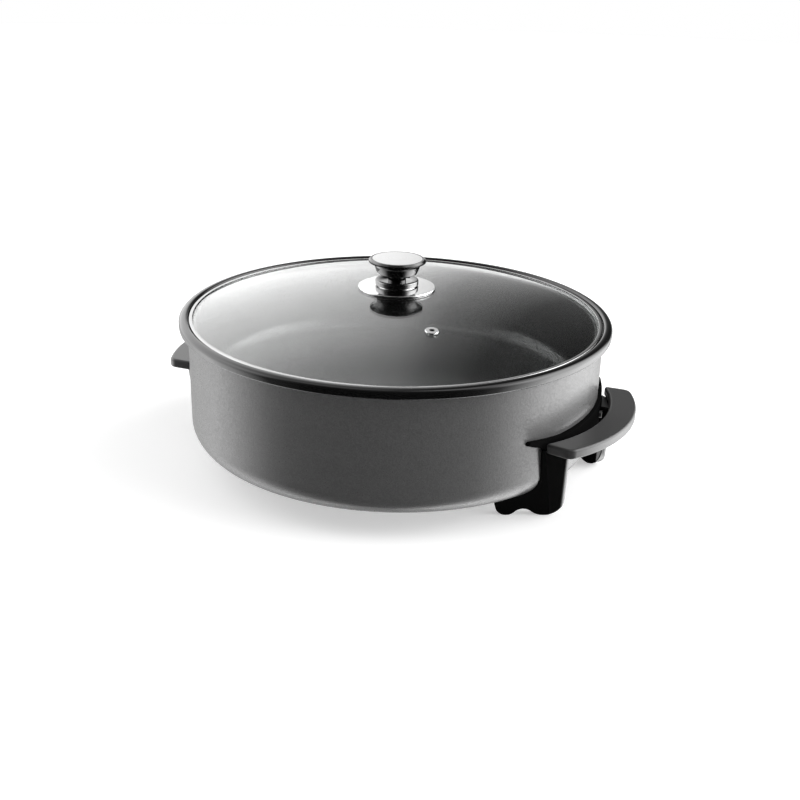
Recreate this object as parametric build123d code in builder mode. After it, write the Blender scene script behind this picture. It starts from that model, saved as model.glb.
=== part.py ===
from build123d import *

import os
from math import asin, cos, degrees, radians, sin, sqrt

# Round electric skillet: a cast frying pan in a drawn shell, carried by two handle brackets that
# are also its feet, with a domed glass lid that lifts off. Millimetres. +Z is up, Z = 0 is the
# table, the origin is on the pan's axis, X runs through both handles and the inlet is at -X.

# ---------------------------------------------------------------- driving sizes: pan and shell
pan_r = 197.0               # inside radius of the cooking well
pan_wall = 3.0
well_depth = 80.0           # rim top down to the cooking floor
floor_thick = 5.0
floor_fillet = 20.0         # inside radius between wall and floor
rim_top = 145.0             # rim's top above the table
rim_width = 8.7
rim_height = 7.6            # height of the rim's outer face
rim_round = 3.0
rim_under_round = 1.5
rim_inner_round = 1.0
ledge_width = 9.3           # ledge that carries the lid
ledge_depth = 7.0           # rim top down to the ledge
ledge_thick = 3.5
ledge_round = 1.5           # where the well's wall meets the ledge
shell_gap = 5.3             # air gap between the pan's wall and the shell
shell_wall = 1.2
shell_corner = 23.0         # outside radius between the shell's wall and its bottom
table_gap = 18.5            # shell's bottom above the table
shell_fit = 0.1             # shell in the rim's rebate
shell_hole_margin = 7.0     # service hole's edge beyond the cover's posts

# ---------------------------------------------------------------- driving sizes: heating
heater_r = 125.0            # radius of the heating ring's centre line
heater_tube = 4.0           # radius of the sheathed tube
heater_bend = 25.0          # bend between the ring and its two straight ends
inlet_height = 41.5         # terminals, probe and heating ring above the table
terminal_space = 38.0       # centre to centre of the two terminal pins
pin_r = 3.0
pin_root_r = 2.5            # pin inside its bushing
pin_chamfer = 0.75
pin_free = 21.0             # length of each pin in front of its bushing
bushing_r = 6.0
bushing_length = 10.0
heater_gap = 1.0            # ring's ends behind the bushings
rib_width = 18.0            # cast rib that holds the heating ring
groove_fit = 0.1
probe_bore_r = 4.1          # bore for the thermostat's probe
probe_bore_length = 64.5
sleeve_wall = 1.1
sleeve_end = 1.5
sleeve_free = 9.5           # sleeve's mouth in front of the inlet's flange
bushing_free = 4.5          # bushing's end in front of the flange
block_width = 18.0          # cast block round the probe sleeve
block_cover = 1.4           # metal under the sleeve
block_start = 1.0           # block's inner end outside the ring's groove
block_back = 8.0            # block's end behind the flange
post_r = 5.0                # cast posts that take the base cover's screws
post_circle = 100.0
post_count = 6
post_turn = 30.0            # first post from the X axis
pad_thick = 14.0            # insulation pad
pad_inner_margin = 7.0      # pad's inner edge inside the posts
pad_outer_margin = 11.5     # pad's outer edge inside the start of the shell's corner
loose_fit = 0.3             # clearance of parts that only lie or pass through
cut_over = 1.0              # how far a cut runs past the wall it goes through

# ---------------------------------------------------------------- driving sizes: inlet
guard_height = 22.0
guard_wall = 2.5
guard_round = 6.0
guard_reach = 19.5          # mouth of the guard beyond the shell
flange_lap = 2.0            # flange's edge above and below the guard
flange_thick = 2.5
flange_inset = 12.0         # flange's outer face inside the shell's outer radius
lug_width = 8.0
lug_length = 14.0
lug_spacing = 71.0          # between the inlet's two screws, as wide as the guard between them allows
tapping_r = 1.4             # self-tapping screws of the inlet
tapping_head_r = 2.5
tapping_head = 2.0
tapping_gap = 1.0           # screw heads off the guard and off the flange's ends
contact_thick = 0.8
contact_height = 8.0
contact_length = 24.0

# ---------------------------------------------------------------- driving sizes: base cover
cover_thick = 1.0
cover_lap = 10.0            # cover's edge under the shell
cover_dish_margin = 11.0    # edge of the cover's raised middle inside the posts
cover_dish = 3.0            # height of the raised middle
screw_r = 2.0               # M4 screws
screw_head_r = 3.8
screw_head = 2.4
screw_head_round = 0.8
screw_fit = 0.2
thread_fit = 0.05           # screw in its thread
thread_depth = 10.0
screw_short = 1.0           # screw's end before the bottom of its hole

# ---------------------------------------------------------------- driving sizes: handles
grip_top = 78.2
grip_thick = 9.0
finger_gap = 15.5           # between the shell and the grip, at the middle
grip_width = 26.2           # at the middle
grip_half = 85.3            # half length at the outer corners
tip_half = 82.2             # half length at the inner tips
tip_gap = 6.4               # between the shell and the inner tips
grip_end_run = 26.0         # how far the outer corner lies beyond the inner tip
grip_corner = 10.0
grip_tip_round = 2.5
grip_edge = 2.6             # rounding of the top edge
grip_under_edge = 1.2
grip_screw_out = 20.7       # grip screws beyond the shell, measured along X
grip_screw_in = 8.5         # grip screws from the shelves' inner ends
grip_screw_grip = 6.5       # screw's length inside the grip
wall_fit = 0.3              # bracket against the curved shell
band_thick = 3.6
band_low = 53.0
band_low_half = 66.0        # half width of the lower edge's level stretch
band_top = 77.5
band_top_half = 55.0        # half width of the upper edge's level stretch
arm_half = 95.5             # half width over the two arms
arm_low = 78.0              # at the tip
arm_top = 82.0
arm_root_half = 79.0        # where the arms' lower edge leaves the legs
arm_root_low = 72.0
arm_round = 1.8
bracket_screw_in = 2.5      # bracket screws inside the shelves' inner ends
bracket_screw_gap = 0.6     # their heads below the shelves
side_lug_width = 12.0
side_lug_low = 54.0
side_lug_high = 87.0
side_lug_in = 18.0          # how far the lug's foot reaches inwards
side_lug_wall = 6.5
side_lug_fit = 0.5          # lug's face inside the shell
side_lug_foot = 1.0         # lug's inner corner below the cooking floor
leg_turn = 30.5             # plan angle of a leg against the X axis
leg_lean = 7.0              # lean of a leg away from the upright, its top outwards
leg_thick = 9.0
leg_outset = 1.2            # outer toe's centre line beyond the shell's radius
leg_half = 68.8             # its distance from the handle's middle plane
leg_back_top = 8.1          # leg's inner edge from the outer toe's centre line, at the top
leg_back_low = 6.4          # and at the knee
leg_knee = 38.0             # height of the knee above the table
leg_round = 5.0             # rounding of the leg's outer edge
leg_edge = 0.8              # rounding of the rest of its outline
toe_r = 19.0
toe_inner_r = 10.5
toe_space = 35.1
arch_r = 10.8
toe_flat = 0.4              # depth of the flat under each toe
shelf_thick = 3.3
shelf_out = 31.0            # shelf beyond the shell beside the leg
shelf_margin = 6.2          # shelf's outer end beyond the outer toe's centre line
shelf_width = 26.0
shelf_corner = 9.7          # cut-off corner of the shelf

# ---------------------------------------------------------------- driving sizes: lid
lid_clearance = 1.2         # lid band in the rim's recess
lid_rest = 0.3
band_sheet = 0.6
band_height = 6.6
band_top_lap = 3.5          # steel over the glass
band_under_lap = 6.0        # steel under the glass
band_round = 1.0
glass_thick = 4.0
glass_fit = 0.2
glass_hole_fit = 1.0        # hole in the glass round the knob's screw
under_fit = 0.05            # metal under the glass
dome_height = 28.3          # rise of the glass from its edge to the middle
glass_edge_drop = 1.7       # glass's top edge below the rim's top
vent_x = 80.3
vent_y = -81.4
vent_bore_r = 2.5
vent_tube_r = 4.0
vent_flange_r = 6.5
vent_under_r = 5.7
vent_flange = 0.8
vent_round = 0.48
vent_fit = 0.2

# ---------------------------------------------------------------- driving sizes: knob
gasket_r = 16.0
gasket_thick = 0.8
plate_r = 38.3
plate_thick = 0.8
plate_rise = 0.7            # the plate's top rises from its edge to the hub
plate_drop = 0.8            # its underside falls from the gasket to the edge
plate_hub_r = 19.6
plate_round_share = 0.8     # rounding of the plate's edge, as a share of its thickness
plate_hub = 0.6
plate_lip_fit = 0.3         # plate's lip above the glass
collar_r = 21.5
collar_height = 2.7
collar_round = 1.1
waist_r = 8.8
waist_height = 9.2
waist_round = 2.0
neck_low_r = 19.8
neck_high_r = 22.5
neck_height = 6.6
neck_round = 1.6
disc_r = 28.3
disc_flare = 4.9            # height of the flare from the neck to the disc's edge
flare_start = (0.35, 1)     # direction in which the flare leaves the neck
disc_edge = 1.6
disc_crown_r = 26.6
disc_crown = 1.6
insert_r = 24.6
insert_depth = 0.8
insert_rise = 0.4
insert_fit = 0.3
knob_screw_r = 2.5
knob_screw_head_r = 5.0
knob_screw_head = 2.8
knob_screw_head_round = 0.9
knob_screw_grip = 10.0      # screw's length inside the knob
washer_r = 10.0
washer_thick = 1.2

# ---------------------------------------------------------------- worked-out places
floor_top = rim_top - well_depth
floor_under = floor_top - floor_thick
pan_outer_r = pan_r + pan_wall
ledge_top = rim_top - ledge_depth
ledge_under = ledge_top - ledge_thick
rim_under = rim_top - rim_height
lid_seat_r = pan_r + ledge_width
rim_r = lid_seat_r + rim_width
shell_inner_r = pan_outer_r + shell_gap
shell_r = shell_inner_r + shell_wall
shell_floor = table_gap + shell_wall
pan_corner = floor_fillet + pan_wall
grip_low = grip_top - grip_thick
bracket_r = shell_r + wall_fit
base_hole_r = post_circle + post_r + shell_hole_margin
cover_dish_r = post_circle - post_r - cover_dish_margin
pad_inner_r = post_circle - post_r - pad_inner_margin
pad_outer_r = shell_r - shell_corner - pad_outer_margin
shelf_far = leg_half + shelf_margin
shelf_near = shelf_far - shelf_width
grip_screw_half = shelf_near + grip_screw_in
bracket_screw_half = shelf_near - bracket_screw_in
bracket_screw_angle = degrees(asin(bracket_screw_half / shell_r))
leg_circle = shell_r + leg_outset
leg_angle = degrees(asin(leg_half / leg_circle))
sleeve_r = probe_bore_r + sleeve_wall
flange_out = shell_r - flange_inset
flange_in = flange_out - flange_thick
guard_mouth = shell_r + guard_reach
guard_width = lug_spacing - 2 * (tapping_head_r + tapping_gap)
flange_width = lug_spacing + 2 * (tapping_head_r + tapping_gap)
sleeve_mouth = flange_out + sleeve_free
sleeve_in = sleeve_mouth - probe_bore_length - sleeve_end
bushing_out = flange_out + bushing_free
bushing_in = bushing_out - bushing_length
heater_end = bushing_in - heater_gap
shelf_low = grip_low - shelf_thick
bracket_screw_z = shelf_low - bracket_screw_gap - screw_head_r
lid_r = lid_seat_r - lid_clearance
lid_low = ledge_top + lid_rest
glass_r = lid_r - band_sheet - glass_fit
dome_top = rim_top - glass_edge_drop + dome_height
dome_r = (glass_r**2 + dome_height**2) / (2 * dome_height)
plate_low = dome_top + gasket_thick
plate_edge = plate_low - plate_drop + plate_thick
collar_low = plate_edge + plate_rise + plate_hub
knob_low = collar_low + collar_height
neck_low = knob_low + waist_height
neck_high = neck_low + neck_height
disc_low = neck_high + disc_flare
disc_high = disc_low + disc_edge
knob_top = disc_high + disc_crown

os.makedirs("parts", exist_ok=True)


def round_corner(sketch, point, radius):
    """Round the sketch's corner that lies nearest to a point."""
    fillet(sketch.vertices().sort_by_distance(point)[0], radius)


def dome_at(radius):
    """Height of the glass's upper face at a distance from the lid's axis."""
    return dome_top - dome_r + sqrt(dome_r**2 - radius**2)


# ================================================================ heating ring's centre line
# An open ring whose two ends bend out to the terminals.
half_space = terminal_space / 2
bend_y = half_space + heater_bend
bend_x = -sqrt((heater_r + heater_bend)**2 - bend_y**2)
touch = heater_r / (heater_r + heater_bend)
with BuildLine() as heater_path:
    Line((-heater_end, half_space, inlet_height), (bend_x, half_space, inlet_height))
    TangentArc(
        (bend_x, half_space, inlet_height),
        (bend_x * touch, bend_y * touch, inlet_height),
        tangent=(1, 0, 0),
    )
    ThreePointArc(
        (bend_x * touch, bend_y * touch, inlet_height),
        (heater_r, 0, inlet_height),
        (bend_x * touch, -bend_y * touch, inlet_height),
    )
    TangentArc(
        (bend_x, -half_space, inlet_height),
        (bend_x * touch, -bend_y * touch, inlet_height),
        tangent=(1, 0, 0),
    )
    Line((bend_x, -half_space, inlet_height), (-heater_end, -half_space, inlet_height))

# ================================================================ inner pan
# Outer form first, then the cast ribs, posts and lugs, and last the cooking well, so that
# nothing on the outside can break through into the well.
with BuildPart() as inner_pan:
    with BuildSketch(Plane.XZ) as pan_outside:
        with BuildLine():
            Polyline(
                (0, floor_under),
                (pan_outer_r, floor_under),
                (pan_outer_r, ledge_under),
                (shell_inner_r - shell_fit, ledge_under),
                (shell_inner_r - shell_fit, rim_under),
                (rim_r, rim_under),
                (rim_r, rim_top),
                (0, rim_top),
                close=True,
            )
        make_face()
        round_corner(pan_outside, (pan_outer_r, floor_under), pan_corner)
        round_corner(pan_outside, (rim_r, rim_top), rim_round)
        round_corner(pan_outside, (rim_r, rim_under), rim_under_round)
    revolve(axis=Axis.Z)

    # Rib that holds the heating ring, with the ring's groove in its lower face.
    with BuildSketch(Plane.XY.offset(inlet_height)):
        Circle(heater_r + rib_width / 2)
        Circle(heater_r - rib_width / 2, mode=Mode.SUBTRACT)
    extrude(until=Until.NEXT)
    with BuildSketch(Plane.YZ.offset(-heater_end)):
        with Locations((half_space, inlet_height)):
            Circle(heater_tube + groove_fit)
    sweep(path=heater_path.wires()[0], mode=Mode.SUBTRACT)

    # Block round the probe sleeve; it runs into the rib.
    block_low = inlet_height - sleeve_r - block_cover
    block_in = heater_r + heater_tube + groove_fit + block_start
    block_out = flange_in - block_back
    with BuildSketch(Plane.XY.offset(block_low)):
        with Locations((-(block_in + block_out) / 2, 0)):
            Rectangle(block_out - block_in, block_width)
    extrude(amount=floor_top - block_low)

    # Posts for the base cover's screws.
    with BuildSketch(Plane.XY.offset(table_gap)):
        with PolarLocations(post_circle, post_count, start_angle=post_turn):
            Circle(post_r)
    extrude(amount=floor_top - table_gap)

    # Lugs that carry the inlet.
    with BuildSketch(Plane.XY.offset(inlet_height - lug_width / 2)):
        with GridLocations(0, lug_spacing, 1, 2):
            with Locations((-(flange_in - lug_length / 2), 0)):
                Rectangle(lug_length, lug_width)
    extrude(amount=floor_top - inlet_height + lug_width / 2 + floor_fillet / 3)

    # Side lugs that take the bracket screws, two behind each handle.
    for angle in (bracket_screw_angle, -bracket_screw_angle):
        for turn in (0, 180):
            lug_plane = Plane.XZ.rotated((0, 0, angle + turn)).offset(-side_lug_width / 2)
            lug_face = shell_inner_r - side_lug_fit
            with BuildSketch(lug_plane):
                with BuildLine():
                    Polyline(
                        (lug_face - side_lug_in, side_lug_low),
                        (lug_face, side_lug_low),
                        (lug_face, side_lug_high),
                        (lug_face - side_lug_wall, side_lug_high),
                        (lug_face - side_lug_wall, floor_top + floor_fillet / 2),
                        (lug_face - side_lug_in, floor_top - side_lug_foot),
                        close=True,
                    )
                make_face()
            extrude(amount=side_lug_width)

    # The cooking well with its lid ledge.
    with BuildSketch(Plane.XZ) as well:
        with BuildLine():
            Polyline(
                (0, floor_top),
                (pan_r, floor_top),
                (pan_r, ledge_top),
                (lid_seat_r, ledge_top),
                (lid_seat_r, rim_top + cut_over),
                (0, rim_top + cut_over),
                close=True,
            )
        make_face()
        round_corner(well, (pan_r, floor_top), floor_fillet)
        round_corner(well, (pan_r, ledge_top), ledge_round)
    revolve(axis=Axis.Z, mode=Mode.SUBTRACT)
    rim_inner_edge = inner_pan.edges().filter_by(GeomType.CIRCLE).group_by(Axis.Z)[-1]
    fillet(rim_inner_edge.sort_by(SortBy.RADIUS)[0], rim_inner_round)

    # Bore for the sleeve, and threaded holes for every screw that ends in the casting.
    with BuildSketch(Plane.YZ.offset(-flange_out)):
        with Locations((0, inlet_height)):
            Circle(sleeve_r + groove_fit)
    extrude(amount=flange_out - sleeve_in + groove_fit, mode=Mode.SUBTRACT)
    with BuildSketch(Plane.XY.offset(table_gap)):
        with PolarLocations(post_circle, post_count, start_angle=post_turn):
            Circle(screw_r + thread_fit)
    extrude(amount=thread_depth, mode=Mode.SUBTRACT)
    with BuildSketch(Plane.YZ.offset(-flange_in)):
        with Locations((0, inlet_height)):
            with GridLocations(lug_spacing, 0, 2, 1):
                Circle(tapping_r + thread_fit)
    extrude(amount=thread_depth, mode=Mode.SUBTRACT)
    for angle in (bracket_screw_angle, -bracket_screw_angle):
        for turn in (0, 180):
            hole_plane = Plane.YZ.rotated((0, 0, angle + turn)).offset(shell_inner_r + cut_over)
            with BuildSketch(hole_plane):
                with Locations((0, bracket_screw_z)):
                    Circle(screw_r + thread_fit)
            extrude(amount=-thread_depth - cut_over, mode=Mode.SUBTRACT)
inner_pan.part.label = "inner_pan"
export_step(inner_pan.part, "parts/inner_pan.step")

# ================================================================ outer shell
with BuildPart() as outer_shell:
    with BuildSketch(Plane.XZ) as shell_section:
        with BuildLine():
            Polyline(
                (base_hole_r, table_gap),
                (shell_r, table_gap),
                (shell_r, rim_under),
                (shell_inner_r, rim_under),
                (shell_inner_r, shell_floor),
                (base_hole_r, shell_floor),
                close=True,
            )
        make_face()
        round_corner(shell_section, (shell_r, table_gap), shell_corner)
        round_corner(shell_section, (shell_inner_r, shell_floor), shell_corner - shell_wall)
    revolve(axis=Axis.Z)
    # Opening for the inlet guard.
    with BuildSketch(Plane.YZ.offset(-shell_r - cut_over)):
        with Locations((0, inlet_height)):
            RectangleRounded(
                guard_width + 2 * loose_fit, guard_height + 2 * loose_fit, guard_round + loose_fit
            )
    extrude(amount=shell_corner, mode=Mode.SUBTRACT)
    # Holes for the bracket screws.
    for angle in (bracket_screw_angle, -bracket_screw_angle):
        for turn in (0, 180):
            hole_plane = Plane.YZ.rotated((0, 0, angle + turn)).offset(shell_r + cut_over)
            with BuildSketch(hole_plane):
                with Locations((0, bracket_screw_z)):
                    Circle(screw_r + screw_fit)
            extrude(amount=-shell_wall - 2 * cut_over, mode=Mode.SUBTRACT)
outer_shell.part.label = "outer_shell"
export_step(outer_shell.part, "parts/outer_shell.step")

# ================================================================ base cover and its screws
cover_low = table_gap - cover_thick
with BuildPart() as base_cover:
    with BuildSketch(Plane.XZ):
        with BuildLine():
            Polyline(
                (0, cover_low + cover_dish),
                (cover_dish_r, cover_low + cover_dish),
                (cover_dish_r + cover_dish, cover_low),
                (base_hole_r + cover_lap, cover_low),
                (base_hole_r + cover_lap, table_gap),
                (cover_dish_r + cover_dish + cover_thick / 2, table_gap),
                (cover_dish_r + cover_thick / 2, table_gap + cover_dish),
                (0, table_gap + cover_dish),
                close=True,
            )
        make_face()
    revolve(axis=Axis.Z)
    with BuildSketch(Plane.XY.offset(cover_low)):
        with PolarLocations(post_circle, post_count, start_angle=post_turn):
            Circle(screw_r + screw_fit)
    extrude(amount=cover_thick, mode=Mode.SUBTRACT)
base_cover.part.label = "base_cover"
export_step(base_cover.part, "parts/base_cover.step")

with BuildPart() as base_cover_screws:
    with BuildSketch(Plane.XY.offset(cover_low)):
        with PolarLocations(post_circle, post_count, start_angle=post_turn):
            Circle(screw_head_r)
    extrude(amount=-screw_head)
    fillet(base_cover_screws.edges().group_by(Axis.Z)[0], screw_head_round)
    with BuildSketch(Plane.XY.offset(cover_low)):
        with PolarLocations(post_circle, post_count, start_angle=post_turn):
            Circle(screw_r)
    extrude(amount=cover_thick + thread_depth - screw_short)
base_cover_screws.part.label = "base_cover_screws"
export_step(base_cover_screws.part, "parts/base_cover_screws.step")

# ================================================================ insulation pad
pad_low = shell_floor + loose_fit
with BuildPart() as insulation_pad:
    with BuildSketch(Plane.XY.offset(pad_low)):
        Circle(pad_outer_r)
        Circle(pad_inner_r, mode=Mode.SUBTRACT)
        with PolarLocations(post_circle, post_count, start_angle=post_turn):
            Circle(post_r + 2 * loose_fit, mode=Mode.SUBTRACT)
    extrude(amount=pad_thick)
insulation_pad.part.label = "insulation_pad"
export_step(insulation_pad.part, "parts/insulation_pad.step")

# ================================================================ heating element
with BuildPart() as heating_element:
    with BuildSketch(Plane.YZ.offset(-heater_end)):
        with Locations((half_space, inlet_height)):
            Circle(heater_tube)
    sweep(path=heater_path.wires()[0])
heating_element.part.label = "heating_element"
export_step(heating_element.part, "parts/heating_element.step")

with BuildPart() as terminal_pins:
    with BuildSketch(Plane.YZ.offset(-bushing_out)):
        with Locations((0, inlet_height)):
            with GridLocations(terminal_space, 0, 2, 1):
                Circle(pin_r)
    extrude(amount=-pin_free)
    chamfer(terminal_pins.edges().group_by(Axis.X)[0], pin_chamfer)
    with BuildSketch(Plane.YZ.offset(-bushing_out)):
        with Locations((0, inlet_height)):
            with GridLocations(terminal_space, 0, 2, 1):
                Circle(pin_root_r)
    extrude(amount=bushing_out - heater_end)
terminal_pins.part.label = "terminal_pins"
export_step(terminal_pins.part, "parts/terminal_pins.step")

with BuildPart() as terminal_bushings:
    with BuildSketch(Plane.YZ.offset(-bushing_in)):
        with Locations((0, inlet_height)):
            with GridLocations(terminal_space, 0, 2, 1):
                Circle(bushing_r)
                Circle(pin_root_r + groove_fit, mode=Mode.SUBTRACT)
    extrude(amount=-bushing_length)
terminal_bushings.part.label = "terminal_bushings"
export_step(terminal_bushings.part, "parts/terminal_bushings.step")

with BuildPart() as probe_sleeve:
    with BuildSketch(Plane.YZ.offset(-sleeve_mouth)):
        with Locations((0, inlet_height)):
            Circle(sleeve_r)
    extrude(amount=probe_bore_length + sleeve_end)
    with BuildSketch(Plane.YZ.offset(-sleeve_mouth)):
        with Locations((0, inlet_height)):
            Circle(probe_bore_r)
    extrude(amount=probe_bore_length, mode=Mode.SUBTRACT)
probe_sleeve.part.label = "probe_sleeve"
export_step(probe_sleeve.part, "parts/probe_sleeve.step")

# ================================================================ inlet guard, its screws, earth contacts
with BuildPart() as inlet_guard:
    with BuildSketch(Plane.YZ.offset(-flange_in)):
        with Locations((0, inlet_height)):
            RectangleRounded(flange_width, guard_height + 2 * flange_lap, guard_round)
    extrude(amount=-flange_thick)
    with BuildSketch(Plane.YZ.offset(-flange_out)):
        with Locations((0, inlet_height)):
            RectangleRounded(guard_width, guard_height, guard_round)
            RectangleRounded(
                guard_width - 2 * guard_wall,
                guard_height - 2 * guard_wall,
                guard_round - guard_wall,
                mode=Mode.SUBTRACT,
            )
    extrude(amount=-(guard_mouth - flange_out))
    with BuildSketch(Plane.YZ.offset(-flange_in)):
        with Locations((0, inlet_height)):
            Circle(sleeve_r + groove_fit)
            with GridLocations(terminal_space, 0, 2, 1):
                Circle(bushing_r + groove_fit)
            with GridLocations(lug_spacing, 0, 2, 1):
                Circle(tapping_r + screw_fit)
    extrude(amount=-flange_thick, mode=Mode.SUBTRACT)
inlet_guard.part.label = "inlet_guard"
export_step(inlet_guard.part, "parts/inlet_guard.step")

with BuildPart() as inlet_screws:
    with BuildSketch(Plane.YZ.offset(-flange_out)):
        with Locations((0, inlet_height)):
            with GridLocations(lug_spacing, 0, 2, 1):
                Circle(tapping_head_r)
    extrude(amount=-tapping_head)
    with BuildSketch(Plane.YZ.offset(-flange_out)):
        with Locations((0, inlet_height)):
            with GridLocations(lug_spacing, 0, 2, 1):
                Circle(tapping_r)
    extrude(amount=flange_thick + thread_depth - screw_short)
inlet_screws.part.label = "inlet_screws"
export_step(inlet_screws.part, "parts/inlet_screws.step")

contact_y = guard_width / 2 - guard_wall - contact_thick / 2
with BuildPart() as earth_contacts:
    with BuildSketch(Plane.YZ.offset(-flange_out)):
        with Locations((0, inlet_height)):
            with GridLocations(2 * contact_y, 0, 2, 1):
                Rectangle(contact_thick, contact_height)
    extrude(amount=-contact_length)
earth_contacts.part.label = "earth_contacts"
export_step(earth_contacts.part, "parts/earth_contacts.step")

# ================================================================ handle bracket: band, arms, legs
# The shell's outer form, grown by the fit, which trims everything that hugs it.
with BuildPart() as shell_form:
    with BuildSketch(Plane.XZ) as form_section:
        with BuildLine():
            Polyline(
                (0, table_gap - wall_fit),
                (bracket_r, table_gap - wall_fit),
                (bracket_r, rim_under),
                (0, rim_under),
                close=True,
            )
        make_face()
        round_corner(form_section, (bracket_r, table_gap - wall_fit), shell_corner + wall_fit)
    revolve(axis=Axis.Z)

# One leg at -Y. Its outline lies in a leaning plane through the outer toe: two round toes with
# an arch between them, tangent to both, and a straight post up to the grip.
toe_dir = (cos(radians(leg_turn)), sin(radians(leg_turn)), 0)
out_dir = (sin(radians(leg_turn)), -cos(radians(leg_turn)), 0)
lean_sin = sin(radians(leg_lean))
lean_cos = cos(radians(leg_lean))
toe_x = leg_circle * cos(radians(leg_angle))
toe_y = -leg_half
leg_plane = Plane(
    origin=(toe_x, toe_y, 0),
    x_dir=toe_dir,
    z_dir=(out_dir[0] * lean_cos, out_dir[1] * lean_cos, -lean_sin),
)
outer_toe = (0.0, toe_r - toe_flat)
inner_toe = (-toe_space, toe_inner_r - toe_flat)
reach_outer = toe_r + arch_r
reach_inner = toe_inner_r + arch_r
step_x = outer_toe[0] - inner_toe[0]
step_y = outer_toe[1] - inner_toe[1]
toe_gap = sqrt(step_x**2 + step_y**2)
along = (reach_inner**2 - reach_outer**2 + toe_gap**2) / (2 * toe_gap)
below = sqrt(reach_inner**2 - along**2)
arch = (
    inner_toe[0] + along * step_x / toe_gap + below * step_y / toe_gap,
    inner_toe[1] + along * step_y / toe_gap - below * step_x / toe_gap,
)


def between(start, end, share):
    """The point at a share of the way from one point to another."""
    return (start[0] + (end[0] - start[0]) * share, start[1] + (end[1] - start[1]) * share)


inner_tangent = between(inner_toe, arch, toe_inner_r / reach_inner)
outer_tangent = between(outer_toe, arch, toe_r / reach_outer)
leg_top = (grip_low + toe_r) / lean_cos
knee = leg_knee / lean_cos
# What a large rounding takes off the leg's outer edge, from the top down to where the toe
# curves away from it.
edge_plane = Plane(origin=(toe_x, toe_y, 0), x_dir=toe_dir, z_dir=leg_plane.y_dir)
with BuildPart() as edge_cutter:
    with BuildSketch(edge_plane):
        with Locations((outer_toe[0] + toe_r, 0)):
            Rectangle(2 * leg_round, 2 * leg_round)
        with Locations((outer_toe[0] + toe_r - leg_round, leg_round)):
            Circle(leg_round, mode=Mode.SUBTRACT)
        with Locations((outer_toe[0] + toe_r - leg_round, -leg_round)):
            Rectangle(2 * leg_round, 2 * leg_round, mode=Mode.SUBTRACT)
    extrude(amount=leg_top)

with BuildPart() as leg:
    with BuildSketch(leg_plane):
        with BuildLine():
            ThreePointArc(
                (inner_toe[0] - toe_inner_r, inner_toe[1]),
                (inner_toe[0], inner_toe[1] - toe_inner_r),
                inner_tangent,
            )
            ThreePointArc(inner_tangent, (arch[0], arch[1] + arch_r), outer_tangent)
            ThreePointArc(
                outer_tangent,
                (outer_toe[0], outer_toe[1] - toe_r),
                (outer_toe[0] + toe_r, outer_toe[1]),
            )
            Polyline(
                (outer_toe[0] + toe_r, outer_toe[1]),
                (outer_toe[0] + toe_r, leg_top),
                (-leg_back_top, leg_top),
                (-leg_back_low, knee),
                (inner_toe[0] - toe_inner_r, knee),
                (inner_toe[0] - toe_inner_r, inner_toe[1]),
            )
        make_face()
    extrude(amount=leg_thick, dir=(-out_dir[0], -out_dir[1], 0))
    fillet(leg.faces().filter_by(leg_plane).edges(), leg_edge)
    add(edge_cutter.part, mode=Mode.SUBTRACT)
    split(bisect_by=Plane.XY, keep=Keep.TOP)
    split(bisect_by=Plane.XY.offset(grip_low), keep=Keep.BOTTOM)
    # Shelf between the leg and the band: the grip is screwed down on it.
    with BuildSketch(Plane.XY.offset(shelf_low)):
        shelf_x = shell_r * cos(radians(leg_angle))
        with BuildLine():
            Polyline(
                (shelf_x - shelf_corner, -shelf_near),
                (shelf_x + shelf_out, -shelf_near),
                (shelf_x + shelf_out, -shelf_far + shelf_corner),
                (shelf_x + shelf_out - shelf_corner, -shelf_far),
                (shelf_x - shelf_corner, -shelf_far),
                close=True,
            )
        make_face()
    extrude(amount=shelf_thick)

with BuildPart() as handle_bracket_right:
    with BuildSketch(Plane.XY.offset(band_low)):
        Circle(bracket_r + band_thick)
        Circle(bracket_r, mode=Mode.SUBTRACT)
    extrude(amount=arm_top - band_low)
    # Side view of the band: level between the legs, raised and tapered beside the grip's ends.
    with BuildSketch(Plane.YZ) as band_side:
        with BuildLine():
            Polyline(
                (-arm_half, arm_low),
                (-arm_root_half, arm_root_low),
                (-band_low_half, band_low),
                (band_low_half, band_low),
                (arm_root_half, arm_root_low),
                (arm_half, arm_low),
                (arm_half, arm_top),
                (band_top_half, band_top),
                (-band_top_half, band_top),
                (-arm_half, arm_top),
                close=True,
            )
        make_face()
        for side in (-1, 1):
            round_corner(band_side, (side * arm_half, arm_low), arm_round)
            round_corner(band_side, (side * arm_half, arm_top), arm_round)
    extrude(amount=rim_r, mode=Mode.INTERSECT)
    add(leg.part)
    add(leg.part.mirror(Plane.XZ))
    add(shell_form.part, mode=Mode.SUBTRACT)
    for angle in (bracket_screw_angle, -bracket_screw_angle):
        with BuildSketch(Plane.YZ.rotated((0, 0, angle)).offset(bracket_r - cut_over)):
            with Locations((0, bracket_screw_z)):
                Circle(screw_r + screw_fit)
        extrude(amount=band_thick + 2 * cut_over, mode=Mode.SUBTRACT)
    grip_screw_x = sqrt(shell_r**2 - grip_screw_half**2) + grip_screw_out
    with BuildSketch(Plane.XY.offset(grip_low)):
        with Locations((grip_screw_x, -grip_screw_half), (grip_screw_x, grip_screw_half)):
            Circle(screw_r + screw_fit)
    extrude(amount=-shelf_thick, mode=Mode.SUBTRACT)

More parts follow.
